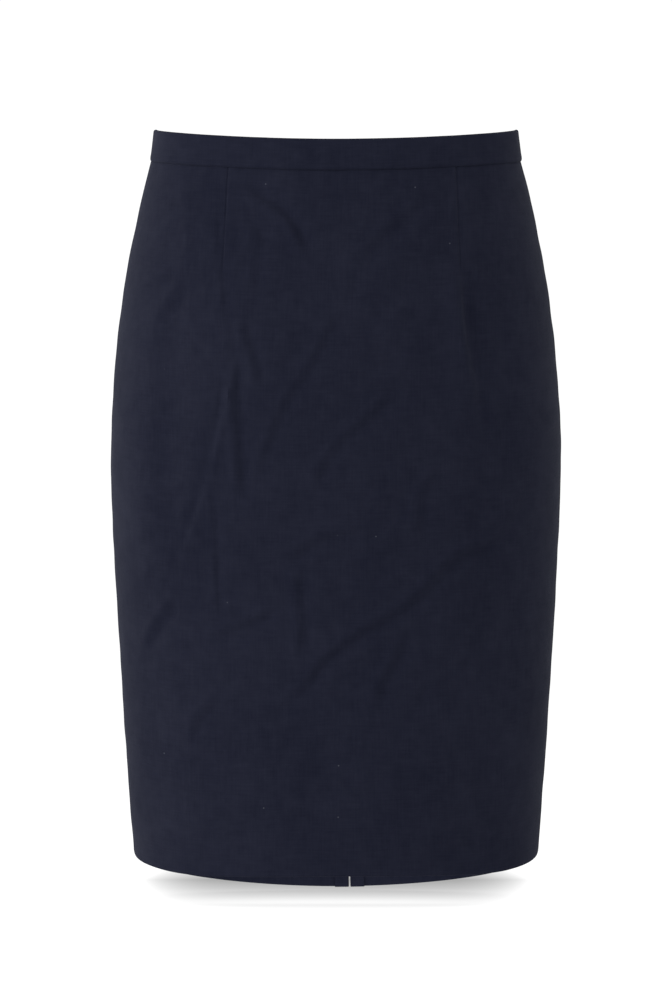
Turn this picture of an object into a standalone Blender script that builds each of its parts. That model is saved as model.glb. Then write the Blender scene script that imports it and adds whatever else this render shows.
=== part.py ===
"""Pencil skirt: a hollow, filled-out cloth garment that is open at the waist and the hem.

Metres, +Z up. The front faces -Y and the wearer's left is at +X. The origin is the centre of
the waist ring, level with the middle of the waistband at the side seams.
Each piece that is cut and sewn is one closed wall of cloth. A point of the cloth has an angle
round the body, 0 at the centre front and growing towards +X, and a share of the way down from
the waistband's seam (0) to the hem (1).
"""

import math

import bmesh
import bpy
from mathutils import Matrix, Vector

MM = 0.001

# Levels at the side seams
BAND_HEIGHT = 24.4 * MM
SEAM_LEVEL = -12.0 * MM
HIP_LEVEL = -255.0 * MM
HEM_LEVEL = -563.6 * MM

# Half widths, side to side
WAIST_WIDTH = 147.8 * MM
HIP_WIDTH = 180.0 * MM
HEM_WIDTH = 161.7 * MM

# Depths from the middle plane to the front and to the back
FRONT_LEVEL = -205.0 * MM
WAIST_FRONT = 88.0 * MM
BELLY_FRONT = 117.0 * MM
HEM_FRONT = 107.0 * MM
SEAT_LEVEL = -215.0 * MM
WAIST_BACK = 91.0 * MM
SEAT_BACK = 130.0 * MM
HEM_BACK = 112.0 * MM
ROUNDNESS = 2.15

# How far the edges hang below their level at the sides
WAIST_DIP = 6.8 * MM
WAIST_SAG = 5.9 * MM
WAIST_DIP_BACK = 9.0 * MM
HEM_DROP = 28.4 * MM
HEM_FLAT = 21.4 * MM
HEM_TILT = 1.2 * MM
HEM_LIFT = 7.2 * MM
HEM_DROP_BACK = 36.0 * MM
SIDE_EASE = 0.12

# Cloth
CLOTH = 1.2 * MM
BAND_PROUD = 0.4 * MM
BAND_WALL = 2.4 * MM
BAND_LEAN = 0.12
HEM_TURN_UP = 32.0 * MM
HEM_WALL = 2.0 * MM
SEAM_GAP = 0.3 * MM
SIDE_SEAM = math.radians(92)

# Centre back
BACK_DRIFT = 11.5 * MM
SLIT = 140.0 * MM
SLIT_MOUTH = 2.6 * MM
BAND_PARTING = 2.6 * MM

# Concealed zip
ZIP_LENGTH = 170.0 * MM
TAPE_TOP = 1.5 * MM
TAPE_WIDTH = 11.0 * MM
TAPE_CLOTH = 1.0 * MM
TAPE_DEPTH = 2.4 * MM
TAPE_INSET = 1.2 * MM
SLIDER_HEIGHT = 16.4 * MM
RING_HOLE = 1.1 * MM
RING_RADIUS = 2.0 * MM
RING_OUT = 2.9 * MM
SLIDER_BODY = (6.4 * MM, 2.4 * MM, 9.0 * MM)
NECK_WIDTH = 1.5 * MM
NECK_HEIGHT = 3.2 * MM
TAB_THICKNESS = 1.1 * MM
TAB_LENGTH = 20.0 * MM
TAB_EYE_HALF = 2.5 * MM
TAB_WAIST_HALF = 2.2 * MM
TAB_END_RADIUS = 3.1 * MM
TAB_REST = math.radians(6)

FRONT_COLUMNS = 30
BACK_COLUMNS = 15
PANEL_ROWS = 23
BAND_COLUMNS = 60


def clear_scene():
    for obj in list(bpy.data.objects):
        bpy.data.objects.remove(obj)


def material(name, colour, roughness, metallic=0.0):
    made = bpy.data.materials.new(name)
    made.use_nodes = True
    shader = made.node_tree.nodes["Principled BSDF"]
    shader.inputs["Base Color"].default_value = (*colour, 1.0)
    shader.inputs["Roughness"].default_value = roughness
    shader.inputs["Metallic"].default_value = metallic
    return made


def ease(value):
    """0 below 0, 1 above 1, and a smooth step between them."""
    share = min(max(value, 0.0), 1.0)
    return share * share * (3 - 2 * share)


# ---------------------------------------------------------------- the skirt's form

def profile(z, fullest, level, top, above, low, below):
    """A half width or depth: fullest at one level, with a power curve up to the waist and one to the hem."""
    if z > level:
        return fullest - (fullest - top) * ((z - level) / (SEAM_LEVEL - level)) ** above
    return fullest - (fullest - low) * ((level - z) / (level - HEM_LEVEL)) ** below


def half_width(z):
    return profile(z, HIP_WIDTH, HIP_LEVEL, WAIST_WIDTH, 2.05, HEM_WIDTH, 1.3)


def front_depth(z):
    return profile(z, BELLY_FRONT, FRONT_LEVEL, WAIST_FRONT, 1.9, HEM_FRONT, 1.4)


def back_depth(z):
    return profile(z, SEAT_BACK, SEAT_LEVEL, WAIST_BACK, 2.0, HEM_BACK, 1.3)


def toward_middle(angle):
    """0 at the sides and 1 at the centre front or back, rounded off where it crosses the side."""
    middle = abs(math.cos(angle))
    return middle * (1 - math.exp(-((middle / SIDE_EASE) ** 2)))


def waist_drop(angle):
    middle = abs(math.cos(angle))
    if math.cos(angle) > 0:
        return WAIST_DIP * middle**2 + WAIST_SAG * toward_middle(angle)
    return WAIST_DIP_BACK * middle**2


def hem_drop(angle):
    """The front hem follows a round curve at the sides and runs straight across the middle."""
    middle = toward_middle(angle)
    if math.cos(angle) < 0:
        return HEM_DROP_BACK * middle
    round_part = max(HEM_DROP * middle, 0.01 * MM)
    straight_part = HEM_FLAT - HEM_TILT * math.sin(angle)
    lower = (round_part**-9 + straight_part**-9) ** (-1 / 9)
    return lower - HEM_LIFT * middle


def level(angle, down):
    top = SEAM_LEVEL - waist_drop(angle)
    bottom = HEM_LEVEL - hem_drop(angle)
    return top + (bottom - top) * down


# The largest folds: route points (x, z) on the front or back, half width and depth, in mm
FRONT_FOLDS = (
    (((-77, -158), (-76, -210), (-74, -285)), 12, 1.6),
    (((97, -112), (105, -165), (112, -215)), 16, 1.6),
    (((120, -318), (78, -344), (30, -385), (-30, -428), (-68, -462)), 13, 1.8),
)
BACK_FOLDS = (
    (((88, -150), (84, -205), (76, -262)), 14, 1.6),
    (((-96, -330), (-50, -368), (10, -402), (60, -440)), 14, 1.6),
)


def fold_depth(x, z, folds):
    """How far the folds press the cloth in at (x, z): a soft trough along each route."""
    here = Vector((x, z))
    total = 0.0
    for route, half, depth in folds:
        points = [Vector(point) * MM for point in route]
        nearest = 1.0
        for start, end in zip(points, points[1:]):
            along = end - start
            share = min(max((here - start).dot(along) / along.length_squared, 0.0), 1.0)
            nearest = min(nearest, (here - start - along * share).length)
        total += depth * MM * math.exp(-((nearest / (half * MM)) ** 2))
    return total


def bare_point(angle, down):
    """A point of the outer face before the folds are pressed in."""
    z = level(angle, down)
    side, middle = math.sin(angle), math.cos(angle)
    reach = (abs(side) ** ROUNDNESS + abs(middle) ** ROUNDNESS) ** (-1 / ROUNDNESS)
    depth = front_depth(z) if middle > 0 else back_depth(z)
    return Vector((half_width(z) * reach * side, -depth * reach * middle, z))


def bare_normal(angle, down):
    step = 0.004
    round_body = bare_point(angle + step, down) - bare_point(angle - step, down)
    down_body = bare_point(angle, down + step) - bare_point(angle, down - step)
    return down_body.cross(round_body).normalized()


def cloth_point(angle, down, inward=0.0):
    point = bare_point(angle, down)
    folds = FRONT_FOLDS if math.cos(angle) > 0 else BACK_FOLDS
    pressed = fold_depth(point.x, point.z, folds) * abs(math.cos(angle)) ** 0.5
    return point - bare_normal(angle, down) * (pressed + inward)


def angle_of_gap(angle, down, gap):
    """The angle that a gap along the cloth takes up."""
    step = 0.004
    speed = (bare_point(angle + step, down) - bare_point(angle - step, down)).length / (2 * step)
    return gap / speed


def centre_back(down):
    """The centre-back line's angle from the front, going round by +X. It drifts a little towards +X."""
    return math.pi - BACK_DRIFT / HEM_WIDTH * down**1.5


def share_above_hem(length):
    return 1 - length / (SEAM_LEVEL - HEM_LEVEL)


def back_half_gap(down):
    """Half the gap between the back panels: closed down to the slit, and open at the hem."""
    slit_top = share_above_hem(SLIT)
    opening = ease((down - slit_top) / (1 - slit_top))
    return (SEAM_GAP + (SLIT_MOUTH - SEAM_GAP) * opening) / 2


# ---------------------------------------------------------------- meshes

def add_object(name, vertices, faces, look):
    mesh = bpy.data.meshes.new(name)
    mesh.from_pydata([tuple(point) for point in vertices], [], faces)
    mesh.materials.append(look)
    mesh.update()
    mesh.shade_smooth()
    mesh.set_sharp_from_angle(angle=math.radians(40))
    obj = bpy.data.objects.new(name, mesh)
    bpy.context.collection.objects.link(obj)
    return obj


def wall_object(name, outer, inner, look):
    """A closed wall between two grids of points, with faces round its four edges."""
    rows, columns = len(outer), len(outer[0])
    vertices = [point for grid in (outer, inner) for row in grid for point in row]
    back = rows * columns
    faces = []
    for i in range(rows - 1):
        for j in range(columns - 1):
            a, b = i * columns + j, i * columns + j + 1
            c, d = b + columns, a + columns
            faces.append((a, d, c, b))
            faces.append((back + a, back + b, back + c, back + d))
    rim = [i * columns for i in range(rows)]
    rim += [(rows - 1) * columns + j for j in range(1, columns)]
    rim += [i * columns + columns - 1 for i in range(rows - 2, -1, -1)]
    rim += [j for j in range(columns - 2, 0, -1)]
    for here, after in zip(rim, rim[1:] + rim[:1]):
        faces.append((here, back + here, back + after, after))
    return add_object(name, vertices, faces, look)


def panel_rows():
    """Shares of the way down for the rows of points, with a step where the turned-up hem begins."""
    hem_top = share_above_hem(HEM_TURN_UP)
    step = share_above_hem(HEM_TURN_UP + 3 * MM)
    top_gap = 1 - share_above_hem(SEAM_GAP)
    rows = [top_gap + (step - top_gap) * i / PANEL_ROWS for i in range(PANEL_ROWS + 1)]
    return rows + [hem_top, (1 + hem_top) / 2, 1.0]


def add_panel(name, columns, left_edge, right_edge, look):
    """A panel between two edges, each a function from the share down to an angle."""
    outer, inner = [], []
    hem_top = share_above_hem(HEM_TURN_UP) - 1e-6
    for down in panel_rows():
        first, last = left_edge(down), right_edge(down)
        angles = [first + (last - first) * j / columns for j in range(columns + 1)]
        wall = HEM_WALL if down >= hem_top else CLOTH
        outer.append([cloth_point(angle, down) for angle in angles])
        inner.append([cloth_point(angle, down, wall) for angle in angles])
    return wall_object(name, outer, inner, look)


def side_edge(side, towards):
    """The side seam as an edge: side is +1 or -1, and towards is the way the panel lies from it."""
    def edge(down):
        angle = side * SIDE_SEAM
        return angle + towards * angle_of_gap(angle, down, SEAM_GAP / 2)
    return edge


def back_edge(side):
    """The centre-back edge of the panel on that side."""
    def edge(down):
        line = centre_back(down) if side > 0 else centre_back(down) - 2 * math.pi
        return line - side * angle_of_gap(line, down, back_half_gap(down))
    return edge


# ---------------------------------------------------------------- waistband

def band_point(angle, height, outward):
    """A point of the waistband: height above its seam, and distance out from the skirt's face."""
    foot = bare_point(angle, 0.0)
    level_out = bare_normal(angle, 0.0)
    level_out.z = 0
    level_out.normalize()
    return foot + Vector((0, 0, height)) + level_out * (outward - BAND_LEAN * height)


def band_half_gap(height):
    """Half the parting of the waistband at the centre back, wider where the zip's neck comes through."""
    parting = ease((height - 2 * MM) / (9 * MM))
    return (SEAM_GAP + (BAND_PARTING - SEAM_GAP) * parting) / 2


def band_section():
    """The folded strip in section as (height, distance out): up outside, over the fold, down inside."""
    inner = BAND_PROUD - BAND_WALL
    half = BAND_WALL / 2
    bottom, middle = SEAM_GAP, 12 * MM
    fold = [
        (BAND_HEIGHT - half + half * math.sin(turn), BAND_PROUD - half + half * math.cos(turn))
        for turn in [math.pi * i / 5 for i in range(6)]
    ]
    return [(bottom, BAND_PROUD), (middle, BAND_PROUD)] + fold + [(middle, inner), (bottom, inner)]


def add_waistband(look):
    section = band_section()
    count = len(section)
    vertices = []
    for j in range(BAND_COLUMNS + 1):
        for height, outward in section:
            start = -math.pi + angle_of_gap(math.pi, 0.0, band_half_gap(height))
            angle = start * (1 - 2 * j / BAND_COLUMNS)
            vertices.append(band_point(angle, height, outward))
    faces = []
    for j in range(BAND_COLUMNS):
        for i in range(count):
            a, b = j * count + i, j * count + (i + 1) % count
            faces.append((a, a + count, b + count, b))
    faces.append(tuple(range(count)))
    faces.append(tuple(BAND_COLUMNS * count + i for i in reversed(range(count))))
    return add_object("waistband", vertices, faces, look)


# ---------------------------------------------------------------- zip

def zip_line(run, side, across, inward):
    """A point behind the centre back: run is how far below the band's top, across how far from the line."""
    drop = BAND_HEIGHT - run
    if drop > 0:
        angle = math.pi - angle_of_gap(math.pi, 0.0, side * across)
        return band_point(angle, drop, -inward)
    down = -drop / (SEAM_LEVEL - HEM_LEVEL)
    line = centre_back(down)
    angle = line - angle_of_gap(line, down, side * across)
    return bare_point(angle, down) - bare_normal(angle, down) * inward


def add_zip_tape(name, side, look):
    """One half of the zip's tape, in columns that go round the way the panels' do."""
    rows, columns = 14, 2
    outer, inner = [], []
    for i in range(rows + 1):
        run = TAPE_TOP + (ZIP_LENGTH - TAPE_TOP) * i / rows
        steps = [TAPE_INSET + TAPE_WIDTH * j / columns for j in range(columns + 1)]
        steps.sort(reverse=side > 0)
        outer.append([zip_line(run, side, across, TAPE_DEPTH) for across in steps])
        inner.append([zip_line(run, side, across, TAPE_DEPTH + TAPE_CLOTH) for across in steps])
    return wall_object(name, outer, inner, look)


def box_mesh(size, centre=(0, 0, 0)):
    made = bmesh.new()
    bmesh.ops.create_cube(made, size=1.0)
    bmesh.ops.scale(made, vec=size, verts=made.verts)
    bmesh.ops.translate(made, vec=centre, verts=made.verts)
    return made


def cylinder_mesh(radius, length, centre=(0, 0, 0)):
    """A cylinder along X."""
    made = bmesh.new()
    bmesh.ops.create_cone(
        made, cap_ends=True, segments=24, radius1=radius, radius2=radius, depth=length
    )
    bmesh.ops.rotate(made, verts=made.verts, matrix=Matrix.Rotation(math.pi / 2, 3, "Y"))
    bmesh.ops.translate(made, vec=centre, verts=made.verts)
    return made


def object_from(name, made, look, is_cutter=False):
    mesh = bpy.data.meshes.new(name)
    made.to_mesh(mesh)
    made.free()
    mesh.materials.append(look)
    mesh.shade_smooth()
    mesh.set_sharp_from_angle(angle=math.radians(35))
    obj = bpy.data.objects.new(name, mesh)
    obj.hide_render = is_cutter
    if is_cutter:
        obj.display_type = "WIRE"
    bpy.context.collection.objects.link(obj)
    return obj


def add_boolean(obj, operation, other):
    step = obj.modifiers.new(operation.title(), "BOOLEAN")
    step.operation = operation
    step.object = other
    other.parent = obj


def ring_centre():
    """The pull tab's axis: outside the waistband at the centre back."""
    return band_point(math.pi, SLIDER_HEIGHT, RING_OUT)


def add_zip_slider(look):
    """A body on the inner side of the tapes, and a neck through the parting that ends in a ring."""
    width, depth, height = SLIDER_BODY
    middle = -(RING_OUT + TAPE_DEPTH + TAPE_CLOTH + SEAM_GAP + depth / 2)
    body = box_mesh((width, depth, height), (0, middle, 0))
    bmesh.ops.bevel(
        body, geom=body.edges[:], offset=0.7 * MM, segments=2, affect="EDGES", profile=0.5
    )
    slider = object_from("zip_slider", body, look)
    neck_end = -(RING_HOLE + RING_RADIUS) / 2
    neck_length = neck_end - middle
    neck = box_mesh((NECK_WIDTH, neck_length, NECK_HEIGHT), (0, (middle + neck_end) / 2, 0))
    ring = cylinder_mesh(RING_RADIUS, NECK_WIDTH * 0.96)
    hole = cylinder_mesh(RING_HOLE, 4 * NECK_WIDTH)
    add_boolean(slider, "UNION", object_from("slider_neck", neck, look, True))
    add_boolean(slider, "UNION", object_from("slider_ring", ring, look, True))
    add_boolean(slider, "DIFFERENCE", object_from("slider_hole", hole, look, True))
    slider.location = ring_centre()
    slider.rotation_euler.x = math.atan(BAND_LEAN)
    return slider


def tab_outline():
    """The pull tab's outline (x, z), from its bar at the origin down: slim, with a wide round end."""
    end_centre = -TAB_LENGTH + TAB_END_RADIUS
    right = [(TAB_EYE_HALF, TAB_THICKNESS / 2), (TAB_EYE_HALF, -3.4 * MM), (TAB_WAIST_HALF, -6.0 * MM)]
    for i in range(9):
        turn = math.radians(12) - math.radians(102) * i / 8
        x, z = TAB_END_RADIUS * math.cos(turn), TAB_END_RADIUS * math.sin(turn)
        right.append((x, end_centre + z))
    left = [(-x, z) for x, z in reversed(right[:-1])]
    return right + left


def add_zip_pull(look):
    made = bmesh.new()
    half = TAB_THICKNESS / 2
    face = made.faces.new([made.verts.new((x, -half, z)) for x, z in tab_outline()])
    made.normal_update()
    grown = bmesh.ops.extrude_face_region(made, geom=[face])
    moved = [item for item in grown["geom"] if isinstance(item, bmesh.types.BMVert)]
    bmesh.ops.translate(made, vec=(0, TAB_THICKNESS, 0), verts=moved)
    bmesh.ops.recalc_face_normals(made, faces=made.faces)
    tab = object_from("zip_pull", made, look)
    eye_top, eye_low = -half, -(RING_RADIUS + 0.5 * MM)
    eye_size = (2 * TAB_EYE_HALF - 2.4 * MM, 4 * TAB_THICKNESS, eye_top - eye_low)
    eye = box_mesh(eye_size, (0, 0, (eye_top + eye_low) / 2))
    add_boolean(tab, "DIFFERENCE", object_from("pull_eye", eye, look, True))
    tab.location = ring_centre()
    tab.rotation_euler.x = TAB_REST
    return tab


def main():
    clear_scene()
    cloth = material("navy_cloth", (0.012, 0.014, 0.026), 0.85)
    band_cloth = material("navy_band_cloth", (0.013, 0.015, 0.027), 0.85)
    tape = material("zip_tape", (0.010, 0.011, 0.020), 0.75)
    metal = material("zip_metal", (0.020, 0.022, 0.035), 0.4, 0.3)

    add_panel("front_panel", FRONT_COLUMNS, side_edge(-1, 1), side_edge(1, -1), cloth)
    add_panel("back_panel_left", BACK_COLUMNS, side_edge(1, 1), back_edge(1), cloth)
    add_panel("back_panel_right", BACK_COLUMNS, back_edge(-1), side_edge(-1, -1), cloth)
    add_waistband(band_cloth)
    add_zip_tape("zip_tape_left", 1, tape)
    add_zip_tape("zip_tape_right", -1, tape)
    add_zip_slider(metal)
    add_zip_pull(metal)


main()
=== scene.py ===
# %% [markdown]
# # A pencil skirt, filled out as if worn
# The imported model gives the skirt's pieces as plain solids, each in its right place. This lesson
# builds what is seen around them: thin cloth with turned edges, darts and creases, a folded
# waistband, the concealed zip, and the finishes of cloth, tape and metal.

# %% Load the frame
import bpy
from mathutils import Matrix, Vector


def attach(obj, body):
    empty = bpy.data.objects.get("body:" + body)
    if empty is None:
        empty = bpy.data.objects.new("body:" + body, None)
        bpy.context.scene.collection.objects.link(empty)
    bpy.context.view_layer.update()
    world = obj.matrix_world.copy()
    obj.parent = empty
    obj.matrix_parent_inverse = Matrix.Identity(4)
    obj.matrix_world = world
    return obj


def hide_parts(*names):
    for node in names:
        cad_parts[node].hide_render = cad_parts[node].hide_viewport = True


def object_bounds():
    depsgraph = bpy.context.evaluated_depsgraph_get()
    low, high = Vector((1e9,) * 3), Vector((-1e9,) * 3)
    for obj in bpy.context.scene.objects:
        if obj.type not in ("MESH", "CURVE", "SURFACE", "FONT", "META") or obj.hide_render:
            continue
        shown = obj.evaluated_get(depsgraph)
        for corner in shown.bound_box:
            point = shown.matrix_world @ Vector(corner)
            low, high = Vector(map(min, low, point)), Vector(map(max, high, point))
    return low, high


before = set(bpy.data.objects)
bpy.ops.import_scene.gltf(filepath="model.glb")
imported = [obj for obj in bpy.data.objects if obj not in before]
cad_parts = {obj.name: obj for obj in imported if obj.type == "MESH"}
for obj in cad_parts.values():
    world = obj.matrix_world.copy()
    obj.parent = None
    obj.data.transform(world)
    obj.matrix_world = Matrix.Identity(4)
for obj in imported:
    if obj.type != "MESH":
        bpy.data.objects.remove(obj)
cad_box = [list(corner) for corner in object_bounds()]

import math

import bpy
import numpy as np
from mathutils import Matrix, Vector, noise

MM = 0.001
skirt_low, skirt_high = Vector(cad_box[0]), Vector(cad_box[1])
print("size in mm:", [round(1000 * side) for side in skirt_high - skirt_low])

# %% [markdown]
# ## Camera
# A long lens from far away keeps the sides of the skirt nearly parallel. The camera is level,
# straight in front, and aimed at the middle of the skirt.

# %% Camera
SHOT_DISTANCE = 4.5
SHOT_HEIGHT = 0.8064
SHOT_LEVEL = -0.2864

lens = bpy.data.cameras.new("shot")
lens.sensor_width = 36
lens.lens = lens.sensor_width * SHOT_DISTANCE / SHOT_HEIGHT
camera = bpy.data.objects.new("shot", lens)
camera.location = (0, -SHOT_DISTANCE, SHOT_LEVEL)
camera.rotation_euler.x = math.pi / 2
bpy.context.collection.objects.link(camera)
bpy.context.scene.camera = camera
print("lens:", round(lens.lens), "mm")

# %% [markdown]
# ## Studio
# Dark cloth shows its creases only when light skims it. So the key light is a tall soft box far
# to the left, and the fill on the right and the one above the front are weak. Two more stand
# behind and give the sides a pale edge, and a small one inside the hem lets the back's inner side
# show. The surround is white to the camera but lights the cloth less, or the creases would wash
# out.

# %% Studio
MIDDLE = (0, 0, -0.28)
SEEN_SURROUND, LIGHT_OF_SURROUND = 1.05, 0.66
WHITE = (1, 1, 1, 1)


def add_softbox(name, place, width, height, power, aim=MIDDLE):
    light = bpy.data.lights.new(name, "AREA")
    light.shape = "RECTANGLE"
    light.size, light.size_y = width, height
    light.energy = power
    box = bpy.data.objects.new(name, light)
    box.location = place
    box.rotation_euler = (Vector(aim) - Vector(place)).to_track_quat("-Z", "Y").to_euler()
    bpy.context.collection.objects.link(box)
    return box


add_softbox("key_left", (-2.7, -1.4, 0.0), 0.7, 1.4, 38)
add_softbox("fill_right", (2.7, -0.9, 0.3), 0.8, 1.8, 3)
add_softbox("top_front", (-0.7, -2.4, 2.9), 1.8, 1.2, 6)
add_softbox("behind_left", (-2.7, 1.5, 0.0), 0.7, 1.4, 22)
add_softbox("behind_right", (2.2, 2.3, 0.9), 0.8, 1.4, 7)

inside_hem = (0, -50 * MM, skirt_low.z + 60 * MM)
back_of_hem = (0, 0.125, skirt_low.z + 15 * MM)
bounce = add_softbox("bounce", inside_hem, 0.2, 0.05, 0.15, aim=back_of_hem)
bounce.visible_camera = False

world = bpy.data.worlds.new("surround")
bpy.context.scene.world = world
world.use_nodes = True
air = world.node_tree
backdrop = air.nodes["Background"]
backdrop.inputs["Color"].default_value = WHITE
backdrop.inputs["Strength"].default_value = SEEN_SURROUND
dim = air.nodes.new("ShaderNodeBackground")
dim.inputs["Color"].default_value = WHITE
dim.inputs["Strength"].default_value = LIGHT_OF_SURROUND
seen = air.nodes.new("ShaderNodeLightPath")
pick = air.nodes.new("ShaderNodeMixShader")
air.links.new(seen.outputs["Is Camera Ray"], pick.inputs["Fac"])
air.links.new(dim.outputs["Background"], pick.inputs[1])
air.links.new(backdrop.outputs["Background"], pick.inputs[2])
air.links.new(pick.outputs["Shader"], air.nodes["World Output"].inputs["Surface"])
bpy.context.scene.view_settings.view_transform = "Standard"

# %% [markdown]
# ## Shader maths as Python
# A finish here is a small network of nodes. `Wire` wraps one socket, so that sums on it add
# Math nodes by themselves, and `Finish.node` adds any other node.

# %% Wires and finishes
class Wire:
    """A number that varies over a surface, as the output of a node."""

    def __init__(self, finish, socket):
        self.finish, self.socket = finish, socket

    def maths(self, operation, *values):
        return self.finish.node("ShaderNodeMath", {"operation": operation}, dict(enumerate(values)))

    def __add__(self, other):
        return self.maths("ADD", self, other)

    def __sub__(self, other):
        return self.maths("SUBTRACT", self, other)

    def __rsub__(self, other):
        return self.maths("SUBTRACT", other, self)

    def __mul__(self, other):
        return self.maths("MULTIPLY", self, other)

    def __truediv__(self, other):
        return self.maths("DIVIDE", self, other)

    __radd__, __rmul__ = __add__, __mul__

    def sine(self):
        return self.maths("SINE", self)

    def above(self, edge, width):
        """0 below the edge, 1 past its width, and a ramp between."""
        ramp = self.maths("MULTIPLY_ADD", self, 1 / width, -edge / width)
        return self.maths("MINIMUM", self.maths("MAXIMUM", ramp, 0.0), 1.0)


class Finish:
    """A material: a Principled shader whose constants are set at once, and nodes that feed it."""

    def __init__(self, name, **constants):
        self.material = bpy.data.materials.new(name)
        self.material.use_nodes = True
        self.tree = self.material.node_tree
        self.shader = self.tree.nodes["Principled BSDF"]
        for label, value in constants.items():
            self.shader.inputs[label.replace("_", " ")].default_value = value

    def plug(self, socket, value):
        if isinstance(value, Wire):
            self.tree.links.new(value.socket, socket)
        else:
            socket.default_value = value

    def node(self, kind, settings=None, inputs=None, output=0):
        made = self.tree.nodes.new(kind)
        for label, value in (settings or {}).items():
            setattr(made, label, value)
        for label, value in (inputs or {}).items():
            self.plug(made.inputs[label], value)
        return Wire(self, made.outputs[output])

    def feed(self, **inputs):
        for label, value in inputs.items():
            self.plug(self.shader.inputs[label.replace("_", " ")], value)

    def mix(self, share, low, high):
        """A colour between two others."""
        return self.node(
            "ShaderNodeMix", {"data_type": "RGBA"}, {0: share, 6: low, 7: high}, output=2
        )

    def object_noise(self, scale, detail=2.0, roughness=0.5, stretch=(1, 1, 1)):
        place = self.node("ShaderNodeTexCoord", output="Object")
        place = self.node("ShaderNodeMapping", None, {"Vector": place, "Scale": stretch})
        inputs = {"Vector": place, "Scale": scale, "Detail": detail, "Roughness": roughness}
        return self.node("ShaderNodeTexNoise", None, inputs)

    def streaks(self, uv, across, along):
        """Noise stretched along a thread: `across` and `along` are waves per metre."""
        place = self.node("ShaderNodeMapping", None, {"Vector": uv, "Scale": (across, along, 1)})
        inputs = {"Vector": place, "Scale": 1.0, "Detail": 2.0, "Roughness": 0.55}
        return self.node("ShaderNodeTexNoise", {"noise_dimensions": "2D"}, inputs)

    def bump(self, height, distance, strength=1.0, under=None):
        inputs = {"Height": height, "Distance": distance, "Strength": strength}
        if under is not None:
            inputs["Normal"] = under
        return self.node("ShaderNodeBump", None, inputs)


print("finishes are made with Finish(name, constants) and .feed(...)")

# %% [markdown]
# ## The cloth's finish
# The skirt is cut from a fine dark navy twill. Close up it has diagonal ribs half a millimetre
# apart. From further off it looks matt and a little cloudy, where the nap has been brushed one
# way or the other. It has thicker and thinner threads, called slubs, and it catches a few specks
# of lint. Sheen brightens it where it turns away from the eye. The ribs follow the cloth's own
# UV map, which is laid out in metres.

# %% Navy twill
RIB = 0.55 * MM
YARN = 0.38 * MM
LINT_PER_METRE, LINT_RADIUS, LINT_SHARE = 34.0, 0.011, 0.955
LINT_COLOUR = (0.16, 0.17, 0.21, 1)


def navy_twill(name, deep, pale, turn=1.0):
    cloth = Finish(
        name,
        Sheen_Weight=0.03,
        Sheen_Roughness=0.35,
        Sheen_Tint=(0.72, 0.76, 0.95, 1),
        Specular_IOR_Level=0.15,
    )
    uv = cloth.node("ShaderNodeUVMap", {"uv_map": "cloth"})
    across = cloth.node("ShaderNodeSeparateXYZ", None, {0: uv}, output="X")
    along = cloth.node("ShaderNodeSeparateXYZ", None, {0: uv}, output="Y")
    ribs = ((across * turn + along * 0.8) * (2 * math.pi / RIB)).sine()
    yarns = (across * (2 * math.pi / YARN)).sine() * (along * (2 * math.pi / YARN)).sine()
    fuzz = cloth.object_noise(2600, 3, 0.6)
    clouds = cloth.object_noise(17, 3, 0.62, (1, 1, 0.7))
    blotches = cloth.object_noise(95, 3, 0.65)
    nap = clouds * 0.6 + blotches * 0.55 - 0.575
    weave = ribs * 0.3 + yarns * 0.25 + fuzz * 0.9
    slubs = cloth.streaks(uv, 45, 900) + cloth.streaks(uv, 850, 38)
    tone = nap * 1.9 + (weave - 0.45) * 0.16 + (slubs - 1.0) * 0.75 + 0.5
    flat = {"feature": "F1", "voronoi_dimensions": "2D"}
    cells = {"Vector": uv, "Scale": LINT_PER_METRE}
    near = cloth.node("ShaderNodeTexVoronoi", flat, cells, output="Distance")
    chance = cloth.node("ShaderNodeTexVoronoi", flat, cells, output="Color")
    chance = cloth.node("ShaderNodeSeparateXYZ", None, {0: chance}, output="X")
    lint = (1 - near.above(LINT_RADIUS, 0.012)) * chance.above(LINT_SHARE, 0.03)
    colour = cloth.mix(tone, (*deep, 1), (*pale, 1))
    colour = cloth.mix(lint * 0.45, colour, LINT_COLOUR)
    soft = cloth.bump(blotches, 0.25 * MM, 0.35)
    fine = cloth.bump(weave + slubs * 0.8, 0.07 * MM, 0.6, soft)
    cloth.feed(Base_Color=colour, Roughness=0.94 - nap * 0.2, Normal=fine)
    return cloth.material


DEEP_NAVY, PALE_NAVY = (0.0086, 0.0102, 0.0230), (0.0150, 0.0170, 0.0335)
panel_finish = navy_twill("navy_twill", DEEP_NAVY, PALE_NAVY)
band_finish = navy_twill("navy_twill_band", DEEP_NAVY, PALE_NAVY, -1.0)
print("cloth finishes:", panel_finish.name, band_finish.name)

# %% [markdown]
# ## The skirt's form
# A point of the cloth is named by its angle round the body, 0 at the centre front and growing
# towards +X, and by how far down it lies, 0 at the waistband's seam and 1 at the hem. These are
# the same driving sizes as the solids have, so the cloth lands on them. Working on whole arrays
# of angles at once lets one call place thousands of points.

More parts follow.
